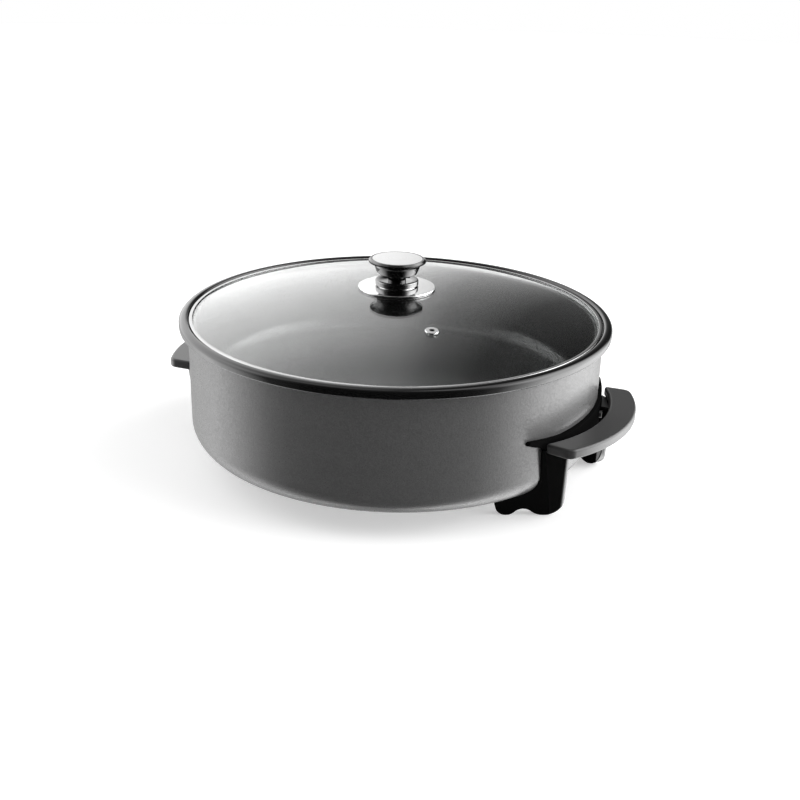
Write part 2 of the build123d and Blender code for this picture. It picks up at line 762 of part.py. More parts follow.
# ================================================================ grip
tip_x = sqrt((shell_r + tip_gap)**2 - tip_half**2)
corner_x = tip_x + grip_end_run
grip_in = shell_r + finger_gap
grip_out = grip_in + grip_width
with BuildPart() as grip_right:
    with BuildSketch(Plane.XY.offset(grip_low)) as grip_plan:
        with BuildLine():
            ThreePointArc((tip_x, -tip_half), (grip_in, 0), (tip_x, tip_half))
            Line((tip_x, tip_half), (corner_x, grip_half))
            ThreePointArc((corner_x, grip_half), (grip_out, 0), (corner_x, -grip_half))
            Line((corner_x, -grip_half), (tip_x, -tip_half))
        make_face()
        for side in (-1, 1):
            round_corner(grip_plan, (corner_x, side * grip_half), grip_corner)
            round_corner(grip_plan, (tip_x, side * tip_half), grip_tip_round)
    extrude(amount=grip_thick)
    fillet(grip_right.edges().group_by(Axis.Z)[-1], grip_edge)
    fillet(grip_right.edges().group_by(Axis.Z)[0], grip_under_edge)
    add(shell_form.part, mode=Mode.SUBTRACT)
    with BuildSketch(Plane.XY.offset(grip_low)):
        with Locations((grip_screw_x, -grip_screw_half), (grip_screw_x, grip_screw_half)):
            Circle(screw_r + thread_fit)
    extrude(amount=grip_screw_grip, mode=Mode.SUBTRACT)

# ================================================================ handle screws
with BuildPart() as grip_screws_right:
    with BuildSketch(Plane.XY.offset(shelf_low)):
        with Locations((grip_screw_x, -grip_screw_half), (grip_screw_x, grip_screw_half)):
            Circle(screw_head_r)
    extrude(amount=-screw_head)
    fillet(grip_screws_right.edges().group_by(Axis.Z)[0], screw_head_round)
    with BuildSketch(Plane.XY.offset(shelf_low)):
        with Locations((grip_screw_x, -grip_screw_half), (grip_screw_x, grip_screw_half)):
            Circle(screw_r)
    extrude(amount=shelf_thick + grip_screw_grip - screw_short)

with BuildPart() as bracket_screws_right:
    for angle in (bracket_screw_angle, -bracket_screw_angle):
        head_plane = Plane.YZ.rotated((0, 0, angle)).offset(bracket_r + band_thick)
        with BuildSketch(head_plane):
            with Locations((0, bracket_screw_z)):
                Circle(screw_head_r)
        extrude(amount=screw_head)
        with BuildSketch(head_plane):
            with Locations((0, bracket_screw_z)):
                Circle(screw_r)
        extrude(amount=-(bracket_r + band_thick - shell_inner_r) - thread_depth + screw_short)

handle_bracket_right.part.label = "handle_bracket_right"
export_step(handle_bracket_right.part, "parts/handle_bracket_right.step")
grip_right.part.label = "grip_right"
export_step(grip_right.part, "parts/grip_right.step")
grip_screws_right.part.label = "grip_screws_right"
export_step(grip_screws_right.part, "parts/grip_screws_right.step")
bracket_screws_right.part.label = "bracket_screws_right"
export_step(bracket_screws_right.part, "parts/bracket_screws_right.step")

# The left-hand set is the right-hand one turned half round.
with BuildPart() as handle_bracket_left:
    add(handle_bracket_right.part, rotation=(0, 0, 180))
handle_bracket_left.part.label = "handle_bracket_left"
export_step(handle_bracket_left.part, "parts/handle_bracket_left.step")

with BuildPart() as grip_left:
    add(grip_right.part, rotation=(0, 0, 180))
grip_left.part.label = "grip_left"
export_step(grip_left.part, "parts/grip_left.step")

with BuildPart() as grip_screws_left:
    add(grip_screws_right.part, rotation=(0, 0, 180))
grip_screws_left.part.label = "grip_screws_left"
export_step(grip_screws_left.part, "parts/grip_screws_left.step")

with BuildPart() as bracket_screws_left:
    add(bracket_screws_right.part, rotation=(0, 0, 180))
bracket_screws_left.part.label = "bracket_screws_left"
export_step(bracket_screws_left.part, "parts/bracket_screws_left.step")

# ================================================================ lid: glass, steel band, steam vent
vent_r = sqrt(vent_x**2 + vent_y**2)
vent_plane = Plane(
    origin=(vent_x, vent_y, dome_at(vent_r)),
    z_dir=(vent_x, vent_y, sqrt(dome_r**2 - vent_r**2)),
)
glass_hole_r = knob_screw_r + glass_hole_fit
with BuildPart() as lid_glass:
    with BuildSketch(Plane.XZ):
        with BuildLine():
            ThreePointArc(
                (glass_hole_r, dome_at(glass_hole_r)),
                (glass_r / 2, dome_at(glass_r / 2)),
                (glass_r, dome_at(glass_r)),
            )
            Line((glass_r, dome_at(glass_r)), (glass_r, dome_at(glass_r) - glass_thick))
            ThreePointArc(
                (glass_r, dome_at(glass_r) - glass_thick),
                (glass_r / 2, dome_at(glass_r / 2) - glass_thick),
                (glass_hole_r, dome_at(glass_hole_r) - glass_thick),
            )
            Line(
                (glass_hole_r, dome_at(glass_hole_r) - glass_thick),
                (glass_hole_r, dome_at(glass_hole_r)),
            )
        make_face()
    revolve(axis=Axis.Z)
    with BuildSketch(vent_plane.offset(glass_thick)):
        Circle(vent_tube_r + vent_fit)
    extrude(amount=-3 * glass_thick, mode=Mode.SUBTRACT)
lid_glass.part.label = "lid_glass"
export_step(lid_glass.part, "parts/lid_glass.step")

with BuildPart() as lid_band:
    with BuildSketch(Plane.XZ) as band_section:
        with BuildLine():
            Polyline(
                (lid_r - band_under_lap, lid_low),
                (lid_r, lid_low),
                (lid_r, lid_low + band_height),
                (lid_r - band_top_lap, lid_low + band_height),
                (lid_r - band_top_lap, lid_low + band_height - band_sheet),
                (lid_r - band_sheet, lid_low + band_height - band_sheet),
                (lid_r - band_sheet, lid_low + band_sheet),
                (lid_r - band_under_lap, lid_low + band_sheet),
                close=True,
            )
        make_face()
        round_corner(band_section, (lid_r, lid_low), band_round)
        round_corner(band_section, (lid_r, lid_low + band_height), band_round)
    revolve(axis=Axis.Z)
lid_band.part.label = "lid_band"
export_step(lid_band.part, "parts/lid_band.step")

vent_low = -glass_thick - under_fit
with BuildPart() as steam_vent:
    with BuildSketch(vent_plane):
        Circle(vent_flange_r)
    extrude(amount=vent_flange)
    fillet(steam_vent.faces().sort_by(Axis.Z)[-1].edges(), vent_round)
    with BuildSketch(vent_plane):
        Circle(vent_tube_r)
    extrude(amount=vent_low)
    with BuildSketch(vent_plane.offset(vent_low)):
        Circle(vent_under_r)
    extrude(amount=-vent_flange)
    with BuildSketch(vent_plane.offset(vent_flange)):
        Circle(vent_bore_r)
    extrude(amount=vent_low - 2 * vent_flange, mode=Mode.SUBTRACT)
steam_vent.part.label = "steam_vent"
export_step(steam_vent.part, "parts/steam_vent.step")

# ================================================================ knob
with BuildPart() as knob_gasket:
    with BuildSketch(Plane.XY.offset(dome_top)):
        Circle(gasket_r)
        Circle(knob_screw_r + screw_fit, mode=Mode.SUBTRACT)
    extrude(amount=gasket_thick)
knob_gasket.part.label = "knob_gasket"
export_step(knob_gasket.part, "parts/knob_gasket.step")

# Dished plate: flat top with a hub, and a lip that comes down close to the glass.
lip_low = dome_at(plate_r) + plate_lip_fit
with BuildPart() as knob_plate:
    with BuildSketch(Plane.XZ) as plate_section:
        with BuildLine():
            Polyline(
                (knob_screw_r + screw_fit, plate_low),
                (gasket_r + plate_thick, plate_low),
                (plate_r - plate_thick, plate_low - plate_drop),
                (plate_r - plate_thick, lip_low),
                (plate_r, lip_low),
                (plate_r, plate_edge),
                (plate_hub_r, plate_edge + plate_rise),
                (plate_hub_r, collar_low),
                (knob_screw_r + screw_fit, collar_low),
                close=True,
            )
        make_face()
        round_corner(plate_section, (plate_r, plate_edge), plate_thick * plate_round_share)
    revolve(axis=Axis.Z)
knob_plate.part.label = "knob_plate"
export_step(knob_plate.part, "parts/knob_plate.step")

with BuildPart() as knob_collar:
    with BuildSketch(Plane.XZ) as collar_section:
        with BuildLine():
            Polyline(
                (knob_screw_r + screw_fit, collar_low),
                (collar_r, collar_low),
                (collar_r, knob_low),
                (knob_screw_r + screw_fit, knob_low),
                close=True,
            )
        make_face()
        round_corner(collar_section, (collar_r, collar_low), collar_round)
        round_corner(collar_section, (collar_r, knob_low), collar_round)
    revolve(axis=Axis.Z)
knob_collar.part.label = "knob_collar"
export_step(knob_collar.part, "parts/knob_collar.step")

with BuildPart() as knob_body:
    with BuildSketch(Plane.XZ) as knob_section:
        with BuildLine():
            Polyline((0, knob_low), (waist_r, knob_low), (waist_r, neck_low), (neck_low_r, neck_low))
            Line((neck_low_r, neck_low), (neck_high_r, neck_high))
            TangentArc((neck_high_r, neck_high), (disc_r, disc_low), tangent=flare_start)
            Polyline(
                (disc_r, disc_low),
                (disc_r, disc_high),
                (disc_crown_r, knob_top),
                (insert_r + insert_fit, knob_top),
                (insert_r + insert_fit, knob_top - insert_depth),
                (0, knob_top - insert_depth),
                (0, knob_low),
            )
        make_face()
        round_corner(knob_section, (waist_r, neck_low), waist_round)
        round_corner(knob_section, (neck_low_r, neck_low), neck_round)
    revolve(axis=Axis.Z)
    with BuildSketch(Plane.XY.offset(knob_low)):
        Circle(knob_screw_r + thread_fit)
    extrude(amount=knob_screw_grip, mode=Mode.SUBTRACT)
knob_body.part.label = "knob_body"
export_step(knob_body.part, "parts/knob_body.step")

with BuildPart() as knob_insert:
    with BuildSketch(Plane.XZ):
        with BuildLine():
            Polyline(
                (0, knob_top - insert_depth),
                (insert_r, knob_top - insert_depth),
                (insert_r, knob_top),
            )
            TangentArc((0, knob_top + insert_rise), (insert_r, knob_top), tangent=(1, 0))
            Line((0, knob_top + insert_rise), (0, knob_top - insert_depth))
        make_face()
    revolve(axis=Axis.Z)
knob_insert.part.label = "knob_insert"
export_step(knob_insert.part, "parts/knob_insert.step")

washer_top = dome_at(washer_r) - glass_thick - under_fit
washer_low = washer_top - washer_thick
with BuildPart() as knob_washer:
    with BuildSketch(Plane.XY.offset(washer_low)):
        Circle(washer_r)
        Circle(knob_screw_r + screw_fit, mode=Mode.SUBTRACT)
    extrude(amount=washer_thick)
knob_washer.part.label = "knob_washer"
export_step(knob_washer.part, "parts/knob_washer.step")

with BuildPart() as knob_screw:
    with BuildSketch(Plane.XY.offset(washer_low)):
        Circle(knob_screw_head_r)
    extrude(amount=-knob_screw_head)
    fillet(knob_screw.edges().group_by(Axis.Z)[0], knob_screw_head_round)
    with BuildSketch(Plane.XY.offset(washer_low)):
        Circle(knob_screw_r)
    extrude(amount=knob_low + knob_screw_grip - screw_short - washer_low)
knob_screw.part.label = "knob_screw"
export_step(knob_screw.part, "parts/knob_screw.step")
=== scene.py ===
# %% [markdown]
# # A round electric skillet
# The imported model comes first: it holds every solid at its real size and place. We never move it.
# We dress it with finishes, and where a form needs more than the solid has we model a new piece
# that stands for it.

# %% Load the imported model
import math

import bmesh
import bpy
from mathutils import Matrix, Vector


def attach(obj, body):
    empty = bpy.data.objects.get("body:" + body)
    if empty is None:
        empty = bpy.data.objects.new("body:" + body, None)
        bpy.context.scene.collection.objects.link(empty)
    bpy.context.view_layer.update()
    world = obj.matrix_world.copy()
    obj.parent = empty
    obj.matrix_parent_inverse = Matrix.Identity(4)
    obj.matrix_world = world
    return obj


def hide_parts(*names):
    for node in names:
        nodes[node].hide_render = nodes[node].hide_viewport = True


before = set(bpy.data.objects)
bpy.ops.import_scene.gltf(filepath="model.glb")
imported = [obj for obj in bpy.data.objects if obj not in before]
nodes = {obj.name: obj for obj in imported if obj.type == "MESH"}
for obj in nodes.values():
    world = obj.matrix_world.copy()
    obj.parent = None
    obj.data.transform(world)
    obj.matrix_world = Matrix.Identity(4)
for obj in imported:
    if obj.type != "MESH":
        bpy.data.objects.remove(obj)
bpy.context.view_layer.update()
scene = bpy.context.scene

# %% [markdown]
# ## Camera
# The skillet is seen from the front right and from above, with a normal lens. We write the
# camera as a turn round the vertical, a height angle and a small roll, because these are the
# values a maker can read and change.

# %% Camera
camera_turn = math.radians(27.58)
camera_height = math.radians(22.42)
camera_roll = math.radians(1.46)
camera_distance = 1.15257
camera_aim = Vector((0.0, 0.0, 0.0505))
camera_aside = 0.00609
camera_below = 0.00136

level_right = Vector((1, 0, 0))
tilted_up = Vector((0, math.sin(camera_height), math.cos(camera_height)))
backwards = Vector((0, -math.cos(camera_height), math.sin(camera_height)))
rolled_right = math.cos(camera_roll) * level_right + math.sin(camera_roll) * tilted_up
rolled_up = math.cos(camera_roll) * tilted_up - math.sin(camera_roll) * level_right
place = camera_distance * backwards + camera_aside * rolled_right - camera_below * rolled_up
axes = Matrix((rolled_right, rolled_up, backwards)).transposed().to_4x4()
spin_about_z = Matrix.Rotation(camera_turn, 4, "Z")
camera_data = bpy.data.cameras.new("camera")
camera_data.lens = 50
camera_data.sensor_width = 36
camera = bpy.data.objects.new("camera", camera_data)
camera.matrix_world = Matrix.Translation(camera_aim) @ spin_about_z @ Matrix.Translation(place) @ axes
scene.collection.objects.link(camera)
scene.camera = camera
print("camera at", [round(v, 4) for v in camera.matrix_world.translation])

# %% [markdown]
# ## Studio
# Gloss is only as good as what it reflects. A photographer lights such a pan with a soft box at
# each side, a soft wall behind it that fades from left to right, and nothing in front, so that the
# black rim and the knob go dark in the middle and light at both sides. Area lamps could do it, but
# here the whole studio is one map of light in the world: two curves say how bright the room is all
# the way round, above the table and below it. That gives soft edges and needs no lamp that could
# show in the gloss.

# %% Directions in the studio
view_dir = spin_about_z @ Vector((0, 1, 0))
side_dir = spin_about_z @ Vector((1, 0, 0))
print("away from camera", [round(v, 3) for v in view_dir], "to its right", [round(v, 3) for v in side_dir])


# %% Small helpers for node trees
def add_node(tree, kind, **values):
    """Add a node and set its named inputs or properties."""
    node = tree.nodes.new(kind)
    for key, value in values.items():
        if hasattr(node, key):
            setattr(node, key, value)
        else:
            node.inputs[key.replace("_", " ")].default_value = value
    return node


def math_node(tree, operation, first, second=None, clamp=False):
    """A Math node on two sockets or numbers; returns its output."""
    node = tree.nodes.new("ShaderNodeMath")
    node.operation = operation
    node.use_clamp = clamp
    for socket, value in zip(node.inputs, (first, second)):
        if isinstance(value, bpy.types.NodeSocket):
            tree.links.new(value, socket)
        elif value is not None:
            socket.default_value = value
    return node.outputs[0]


def ramp_node(tree, factor, stops):
    """A colour ramp through (position, grey) stops; returns its colour output."""
    node = tree.nodes.new("ShaderNodeValToRGB")
    elements = node.color_ramp.elements
    while len(elements) < len(stops):
        elements.new(0.5)
    for element, (position, grey) in zip(elements, stops):
        element.position = position
        element.color = (grey, grey, grey, 1)
    tree.links.new(factor, node.inputs[0])
    return node.outputs[0]


def range_node(tree, value, low, high, to_low=0.0, to_high=1.0):
    """Map a value smoothly from one range to another."""
    node = tree.nodes.new("ShaderNodeMapRange")
    node.interpolation_type = "SMOOTHSTEP"
    tree.links.new(value, node.inputs["Value"])
    for key, number in zip(("From Min", "From Max", "To Min", "To Max"), (low, high, to_low, to_high)):
        node.inputs[key].default_value = number
    return node.outputs["Result"]


# %% Helpers for places and colours
def radius_and_height(tree):
    """How far a point of the object is from the vertical axis, and how high it is."""
    apart = tree.nodes.new("ShaderNodeSeparateXYZ")
    tree.links.new(add_node(tree, "ShaderNodeTexCoord").outputs["Object"], apart.inputs[0])
    squares = [math_node(tree, "MULTIPLY", apart.outputs[axis], apart.outputs[axis]) for axis in ("X", "Y")]
    return math_node(tree, "SQRT", math_node(tree, "ADD", *squares)), apart.outputs["Z"]


def mix_colour(tree, factor, first, second, blend="MIX"):
    """Mix or multiply two colours by a factor; each may be a socket or a value."""
    node = tree.nodes.new("ShaderNodeMix")
    node.data_type = "RGBA"
    node.blend_type = blend
    for socket, value in ((node.inputs[0], factor), (node.inputs[6], first), (node.inputs[7], second)):
        if isinstance(value, bpy.types.NodeSocket):
            tree.links.new(value, socket)
        else:
            socket.default_value = value
    return node.outputs[2]


# %% Directions as seen from the pan
world = bpy.data.worlds.new("studio")
scene.world = world
world.use_nodes = True
tree = world.node_tree
tree.nodes.clear()
direction = add_node(tree, "ShaderNodeTexCoord").outputs["Generated"]


def along(tree, vector, axis):
    """How far a direction points along an axis."""
    node = tree.nodes.new("ShaderNodeVectorMath")
    node.operation = "DOT_PRODUCT"
    tree.links.new(vector, node.inputs[0])
    node.inputs[1].default_value = axis
    return node.outputs["Value"]


forwards = along(tree, direction, view_dir)
sideways = along(tree, direction, side_dir)
upwards = along(tree, direction, (0, 0, 1))
turned = math_node(tree, "ARCTAN2", sideways, forwards)
share_round = math_node(tree, "ADD", math_node(tree, "MULTIPLY", turned, 1 / math.tau), 0.5)
print("directions ready")

# %% How bright the room is, all the way round
# Each pair is an angle in degrees, 0 behind the pan and growing to the right, and a brightness.
room_peak = 7.0
room_above = [(-180, 0), (-135, 0.02), (-113, 0.3), (-100, 1.9), (-90, 2.8), (-70, 3.4), (-50, 2.7),
              (-30, 2.3), (-15, 1.95), (-6, 1.55), (0, 1.15), (6, 0.5), (14, 0.12), (25, 0.02), (38, 0.05),
              (50, 3.0), (60, 5.0), (70, 6.0), (92, 6.7), (105, 5.5), (113, 3.3), (125, 0.7), (136, 0.09),
              (150, 0)]
room_below = [(-180, 0), (-136, 0.01), (-113, 0.25), (-100, 1.8), (-90, 3.0), (-70, 3.8), (-49, 1.7),
              (-28, 0.8), (0, 0.8), (28, 1.0), (49, 3.2), (70, 6.0), (92, 6.7), (113, 2.7), (125, 0.6),
              (136, 0.09), (150, 0)]


def room_ring(stops):
    """A ramp round the room, from angle and brightness pairs."""
    return ramp_node(tree, share_round, [(angle / 360 + 0.5, light / room_peak) for angle, light in stops])


# Heights are given as the sine of the angle above the table, from 0 at its level to 1 overhead.
table_edge = (-0.12, 0.06)
ceiling_edge, ceiling_share = (0.57, 0.9), 0.25
overhead_edge, overhead_light = (0.82, 0.95), 0.2
over_table = range_node(tree, upwards, *table_edge)
fades_up = range_node(tree, upwards, *ceiling_edge, 1.0, ceiling_share)
overhead = range_node(tree, upwards, *overhead_edge, 0.0, overhead_light)


def mix_rings(share, first, second):
    """Mix two rings of light by a share."""
    node = tree.nodes.new("ShaderNodeMix")
    tree.links.new(share, node.inputs["Factor"])
    tree.links.new(first, node.inputs["A"])
    tree.links.new(second, node.inputs["B"])
    return node.outputs["Result"]


all_rings = mix_rings(over_table, room_ring(room_below), room_ring(room_above))
lit_ring = math_node(tree, "MULTIPLY", all_rings, math_node(tree, "MULTIPLY", fades_up, room_peak))
room_light = math_node(tree, "ADD", lit_ring, overhead)
print("room rings", len(room_below), len(room_above))

# %% World shader
# The eye sees plain white, directly or straight through glass. Every other ray sees the room.
paths = add_node(tree, "ShaderNodeLightPath")
bounced = math_node(tree, "ADD", paths.outputs["Diffuse Depth"], paths.outputs["Glossy Depth"], clamp=True)
unbent = math_node(tree, "SUBTRACT", 1.0, bounced)
straight = math_node(tree, "MULTIPLY", paths.outputs["Is Transmission Ray"], unbent)
seen = math_node(tree, "MAXIMUM", paths.outputs["Is Camera Ray"], straight)
plain = add_node(tree, "ShaderNodeBackground", Color=(1, 1, 1, 1), Strength=1.0)
room = add_node(tree, "ShaderNodeBackground", Color=(1, 1, 1, 1))
tree.links.new(room_light, room.inputs["Strength"])
for_eye = tree.nodes.new("ShaderNodeMixShader")
tree.links.new(seen, for_eye.inputs[0])
tree.links.new(room.outputs[0], for_eye.inputs[1])
tree.links.new(plain.outputs[0], for_eye.inputs[2])
output = tree.nodes.new("ShaderNodeOutputWorld")
tree.links.new(for_eye.outputs[0], output.inputs["Surface"])
print("world nodes", len(tree.nodes))

# %% [markdown]
# The floor is a plain pale sheet. Seen directly, a little of its own light is added, so that it
# runs into the white background while it still takes the pan's soft shadow. Gloss looks through
# it at the room, because a sheet that takes an even light would lay a grey veil over black paint.

# %% Floor
floor_radius = 6.0
floor_grey = 0.8
own_light = 0.45
floor_mesh = bpy.data.meshes.new("floor")
form = bmesh.new()
bmesh.ops.create_circle(form, cap_ends=True, segments=96, radius=floor_radius)
form.to_mesh(floor_mesh)
form.free()
floor = bpy.data.objects.new("floor", floor_mesh)
scene.collection.objects.link(floor)
floor.visible_glossy = False

floor_paint = bpy.data.materials.new("floor_paint")
floor_paint.use_nodes = True
tree = floor_paint.node_tree
tree.nodes.clear()
paths = add_node(tree, "ShaderNodeLightPath")
lit = add_node(tree, "ShaderNodeBsdfDiffuse", Color=(floor_grey, floor_grey, floor_grey, 1))
lift = add_node(tree, "ShaderNodeEmission", Color=(1, 1, 1, 1), Strength=own_light)
both = tree.nodes.new("ShaderNodeAddShader")
tree.links.new(lit.outputs[0], both.inputs[0])
tree.links.new(lift.outputs[0], both.inputs[1])
seen = math_node(tree, "MAXIMUM", paths.outputs["Is Camera Ray"], paths.outputs["Is Transmission Ray"])
eye_or_rest = tree.nodes.new("ShaderNodeMixShader")
tree.links.new(seen, eye_or_rest.inputs[0])
tree.links.new(lit.outputs[0], eye_or_rest.inputs[1])
tree.links.new(both.outputs[0], eye_or_rest.inputs[2])
output = tree.nodes.new("ShaderNodeOutputMaterial")
tree.links.new(eye_or_rest.outputs[0], output.inputs["Surface"])
floor_mesh.materials.append(floor_paint)
scene.view_settings.view_transform = "Standard"
print("floor ready")


# %% [markdown]
# ## Shared effects
# Three effects come back in several finishes, so each is a node group with its own inputs: a fine
# grain that breaks up gloss, the pebbles of sprayed paint, and the rings that a lathe leaves.

# %% Group helper
def new_group(name, inputs, outputs):
    """A shader node group with named float or colour sockets."""
    group = bpy.data.node_groups.new(name, "ShaderNodeTree")
    for label, kind, value in inputs:
        socket = group.interface.new_socket(name=label, in_out="INPUT", socket_type=kind)
        socket.default_value = value
    for label, kind in outputs:
        group.interface.new_socket(name=label, in_out="OUTPUT", socket_type=kind)
    return group, group.nodes.new("NodeGroupInput"), group.nodes.new("NodeGroupOutput")


FLOAT, COLOUR = "NodeSocketFloat", "NodeSocketColor"

# %% Fine grain
grain, entry, leave = new_group(
    "fine_grain",
    [("Scale", FLOAT, 900.0), ("Roughness", FLOAT, 0.4), ("Variation", FLOAT, 0.05),
     ("Colour", COLOUR, (0.1, 0.1, 0.1, 1)), ("Mottle", FLOAT, 0.1)],
    [("Colour", COLOUR), ("Roughness", FLOAT), ("Height", FLOAT)],
)
spot = add_node(grain, "ShaderNodeTexCoord").outputs["Object"]
fine = add_node(grain, "ShaderNodeTexNoise", Detail=3.0)
grain.links.new(spot, fine.inputs["Vector"])
grain.links.new(entry.outputs["Scale"], fine.inputs["Scale"])
cloudy = add_node(grain, "ShaderNodeTexNoise", Scale=22.0, Detail=2.0)
grain.links.new(spot, cloudy.inputs["Vector"])
centred = math_node(grain, "SUBTRACT", fine.outputs[0], 0.5)
swing = math_node(grain, "MULTIPLY", centred, entry.outputs["Variation"])
rough = math_node(grain, "ADD", swing, entry.outputs["Roughness"], clamp=True)
grain.links.new(rough, leave.inputs["Roughness"])
patches = math_node(grain, "SUBTRACT", cloudy.outputs[0], 0.5)
shade = math_node(grain, "MULTIPLY", patches, entry.outputs["Mottle"])
lighter = mix_colour(grain, math_node(grain, "ADD", 0.5, shade, clamp=True), (0, 0, 0, 1), (1, 1, 1, 1))
doubled = add_node(grain, "ShaderNodeVectorMath")
doubled.operation = "SCALE"
doubled.inputs["Scale"].default_value = 2.0
grain.links.new(lighter, doubled.inputs[0])
tinted = mix_colour(grain, 1.0, entry.outputs["Colour"], doubled.outputs[0], "MULTIPLY")
grain.links.new(tinted, leave.inputs["Colour"])
grain.links.new(fine.outputs[0], leave.inputs["Height"])
print("group", grain.name)

# %% Pebbles of sprayed paint, with painted light and shade on their relief
pebbles, entry, leave = new_group(
    "pebbles",
    [("Scale", FLOAT, 420.0), ("Light", COLOUR, (0.2, 0.2, 0.2, 1)), ("Dark", COLOUR, (0.1, 0.1, 0.1, 1)),
     ("Roughness", FLOAT, 0.45)],
    [("Colour", COLOUR), ("Roughness", FLOAT), ("Height", FLOAT)],
)
wander_reach = 0.004
mound_edge, painted_shade_edge = (0.1, 0.75), (0.25, 1.15)
speck_share, rough_share, middle_tone = 0.35, 0.12, 0.6
spot = add_node(pebbles, "ShaderNodeTexCoord").outputs["Object"]
wander = add_node(pebbles, "ShaderNodeTexNoise", Scale=160.0, Detail=2.0)
pebbles.links.new(spot, wander.inputs["Vector"])
pushed = add_node(pebbles, "ShaderNodeVectorMath")
pushed.operation = "MULTIPLY_ADD"
pushed.inputs[1].default_value = (wander_reach, wander_reach, wander_reach)
pebbles.links.new(wander.outputs[1], pushed.inputs[0])
pebbles.links.new(spot, pushed.inputs[2])
cells = add_node(pebbles, "ShaderNodeTexVoronoi")
cells.feature = "SMOOTH_F1"
pebbles.links.new(pushed.outputs[0], cells.inputs["Vector"])
pebbles.links.new(entry.outputs["Scale"], cells.inputs["Scale"])
specks = add_node(pebbles, "ShaderNodeTexNoise", Detail=4.0, Scale=900.0)
pebbles.links.new(spot, specks.inputs["Vector"])
mounds = range_node(pebbles, cells.outputs["Distance"], *mound_edge, 1.0, 0.0)
height = math_node(pebbles, "ADD", mounds, math_node(pebbles, "MULTIPLY", specks.outputs[0], speck_share))
pebbles.links.new(height, leave.inputs["Height"])
# Painted light and shade: the tops of the mounds are painted lighter and the hollows darker, following their
# height.
painted_relief_shade = range_node(pebbles, height, *painted_shade_edge)
shade = mix_colour(pebbles, painted_relief_shade, entry.outputs["Dark"], entry.outputs["Light"])
pebbles.links.new(shade, leave.inputs["Colour"])
hollows = math_node(pebbles, "SUBTRACT", middle_tone, painted_relief_shade)
rougher = math_node(pebbles, "MULTIPLY", hollows, rough_share)
rough = math_node(pebbles, "ADD", rougher, entry.outputs["Roughness"], clamp=True)
pebbles.links.new(rough, leave.inputs["Roughness"])
print("group", pebbles.name)

# %% Lathe rings
rings, entry, leave = new_group(
    "lathe_rings",
    [("Scale", FLOAT, 2500.0), ("Roughness", FLOAT, 0.2), ("Variation", FLOAT, 0.1),
     ("Colour", COLOUR, (0.7, 0.7, 0.7, 1))],
    [("Colour", COLOUR), ("Roughness", FLOAT), ("Height", FLOAT)],
)
track_share = 0.35
section = rings.nodes.new("ShaderNodeCombineXYZ")
for socket, distance in zip(section.inputs, radius_and_height(rings)):
    rings.links.new(math_node(rings, "MULTIPLY", distance, entry.outputs["Scale"]), socket)
tracks = add_node(rings, "ShaderNodeTexNoise", Scale=1.0, Detail=3.0)
rings.links.new(section.outputs[0], tracks.inputs["Vector"])
centred = math_node(rings, "SUBTRACT", tracks.outputs[0], 0.5)
swing = math_node(rings, "MULTIPLY", centred, entry.outputs["Variation"])
rough = math_node(rings, "ADD", swing, entry.outputs["Roughness"], clamp=True)
rings.links.new(rough, leave.inputs["Roughness"])
dimmed = mix_colour(rings, track_share, entry.outputs["Colour"], tracks.outputs[0], "MULTIPLY")
rings.links.new(dimmed, leave.inputs["Colour"])
rings.links.new(tracks.outputs[0], leave.inputs["Height"])
print("group", rings.name)


# %% [markdown]
# ## Finishes
# Every finish starts from one Principled shader. A shared effect drives its colour and roughness
# and, through a Bump node, its surface.

# %% Finish helper
def finish(name, group=None, bump=0.0, depth=0.0001, **values):
    """A material with a Principled shader whose colour, roughness and bump come from a group."""
    material = bpy.data.materials.new(name)
    material.use_nodes = True
    tree = material.node_tree
    shader = tree.nodes["Principled BSDF"]
    shader_inputs = {key: value for key, value in values.items() if key.startswith("bsdf_")}
    for key, value in shader_inputs.items():
        shader.inputs[key[5:].replace("_", " ")].default_value = value
    if group is not None:
        effect = tree.nodes.new("ShaderNodeGroup")
        effect.node_tree = group
        for key, value in values.items():
            if not key.startswith("bsdf_"):
                effect.inputs[key].default_value = value
        tree.links.new(effect.outputs["Colour"], shader.inputs["Base Color"])
        tree.links.new(effect.outputs["Roughness"], shader.inputs["Roughness"])
        if bump:
            relief = tree.nodes.new("ShaderNodeBump")
            relief.inputs["Strength"].default_value = bump
            relief.inputs["Distance"].default_value = depth
            tree.links.new(effect.outputs["Height"], relief.inputs["Height"])
            tree.links.new(relief.outputs[0], shader.inputs["Normal"])
    return material


def grey(value):
    """A neutral colour."""
    return (value, value, value, 1)


# %% Paint, plastic and metal
# The shell's Light grey is painted light on the pebbles' tops, and its Dark grey is painted shade in their
# hollows.
shell_paint = finish("shell_paint", pebbles, bump=0.15, depth=0.0002,
                     Scale=620.0, Light=grey(0.112), Dark=grey(0.092), Roughness=0.32, bsdf_IOR=1.5)
grip_plastic = finish("grip_plastic", grain, bump=0.2, depth=0.00005,
                      Scale=1100.0, Colour=grey(0.05), Roughness=0.36, Variation=0.12, bsdf_IOR=1.5)
inlet_plastic = finish("inlet_plastic", grain, bump=0.15, depth=0.00005,
                       Scale=1300.0, Colour=grey(0.015), Roughness=0.45, Variation=0.1)
band_steel = finish("band_steel", rings, Scale=3000.0, Colour=grey(0.5), Roughness=0.16, Variation=0.08,
                    bsdf_Metallic=1.0)
knob_gloss = finish("knob_gloss", grain, Scale=700.0, Colour=grey(0.004), Roughness=0.06, Variation=0.02,
                    Mottle=0.03, bsdf_IOR=1.8)
collar_gloss = finish("collar_gloss", grain, Scale=700.0, Colour=grey(0.004), Roughness=0.05, Variation=0.02,
                      Mottle=0.03, bsdf_IOR=2.2)
vent_steel = finish("vent_steel", grain, Scale=700.0, Colour=grey(0.8), Roughness=0.16, Variation=0.04,
                    Mottle=0.03, bsdf_Metallic=1.0)
sleeve_steel = finish("sleeve_steel", grain, Scale=900.0, Colour=grey(0.55), Roughness=0.3, Variation=0.1,
                      bsdf_Metallic=1.0)
